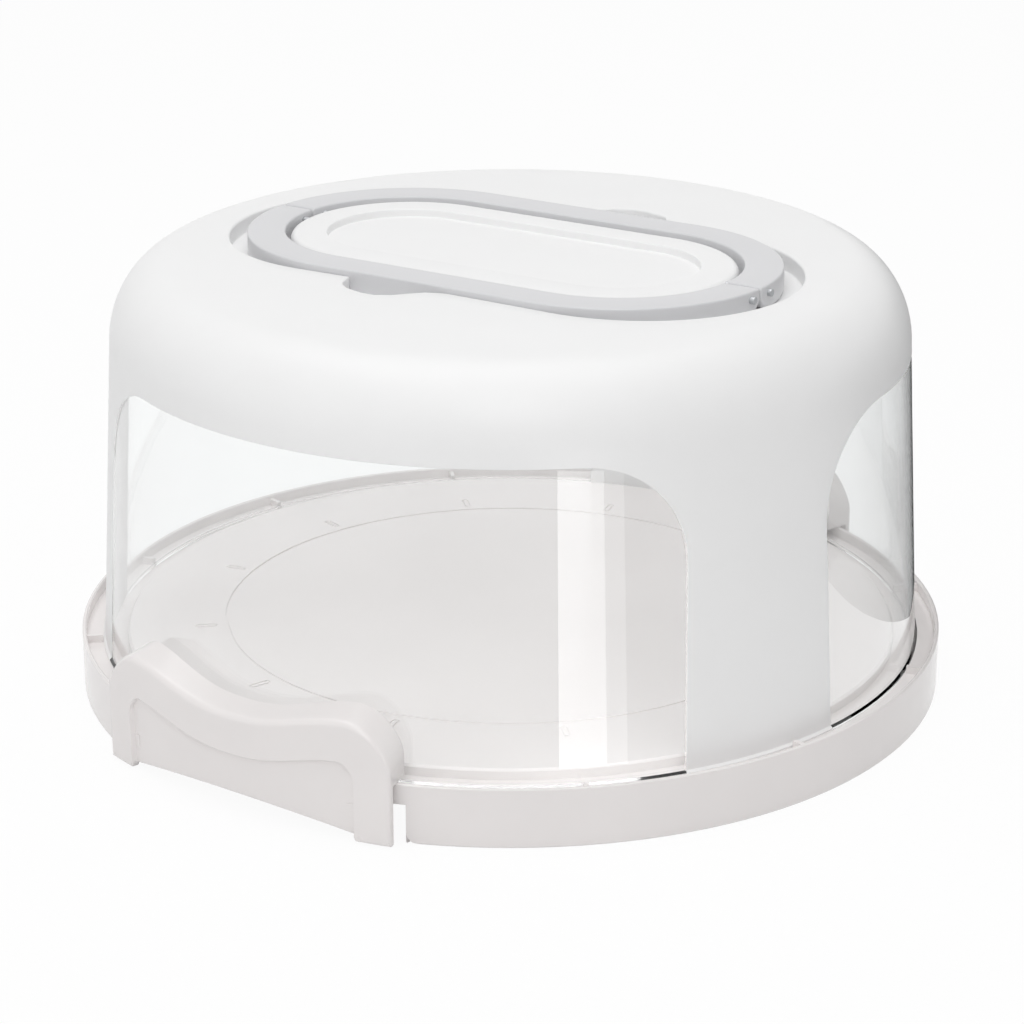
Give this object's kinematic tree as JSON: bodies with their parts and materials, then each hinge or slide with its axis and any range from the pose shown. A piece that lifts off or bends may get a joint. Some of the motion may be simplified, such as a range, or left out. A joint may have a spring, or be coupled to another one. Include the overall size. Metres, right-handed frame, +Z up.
{
  "type": "cake carrier",
  "caption": "Round cake carrier with a shallow tray, a tall frosted dome lid with clear windows, waved side latches and folding handles that lie in a pocket on top.",
  "frame": {"origin": "centre of the underside, on the table", "axes": "+Z up, +Y through the middles of the two latches, +X along the open sides"},
  "size_m": [0.305, 0.3112, 0.1555],
  "materials": {
    "white_plastic": "gloss",
    "frosted_plastic": "frosted",
    "clear_plastic": "clear",
    "grey_plastic": "satin",
    "pin_steel": "satin"
  },
  "bodies": {
    "base": {"base_tray": "white_plastic", "latch_pin_1": "pin_steel", "latch_pin_2": "pin_steel", "latch_pin_3": "pin_steel", "latch_pin_4": "pin_steel"},
    "lid": {"lid_shell": "frosted_plastic", "window_1": "clear_plastic", "window_2": "clear_plastic", "window_3": "clear_plastic", "handle_pin_1": "pin_steel", "handle_pin_2": "pin_steel", "handle_pin_3": "pin_steel", "handle_pin_4": "pin_steel"},
    "front_latch": {"latch_front": "white_plastic"},
    "rear_latch": {"latch_rear": "white_plastic"},
    "front_handle": {"handle_front": "grey_plastic"},
    "rear_handle": {"handle_rear": "grey_plastic"}
  },
  "joints": [
    {"name": "lid_lift", "type": "slide", "parent": "base", "child": "lid", "axis": [0, 0, 1], "range_m": [0, 0.2]},
    {"name": "latch_front_swing", "type": "hinge", "parent": "base", "child": "front_latch", "pos_m": [0, -0.1462, 0.011], "axis": [1, 0, 0], "range_deg": [0, 90]},
    {"name": "latch_rear_swing", "type": "hinge", "parent": "base", "child": "rear_latch", "pos_m": [0, 0.1462, 0.011], "axis": [-1, 0, 0], "range_deg": [0, 90]},
    {"name": "handle_front_swing", "type": "hinge", "parent": "lid", "child": "front_handle", "pos_m": [0.00019, -0.0056, 0.1518], "axis": [-0.9994, -0.0349, 0], "range_deg": [0, 90]},
    {"name": "handle_rear_swing", "type": "hinge", "parent": "lid", "child": "rear_handle", "pos_m": [-0.00019, 0.0056, 0.1518], "axis": [0.9994, 0.0349, 0], "range_deg": [0, 90]}
  ]
}
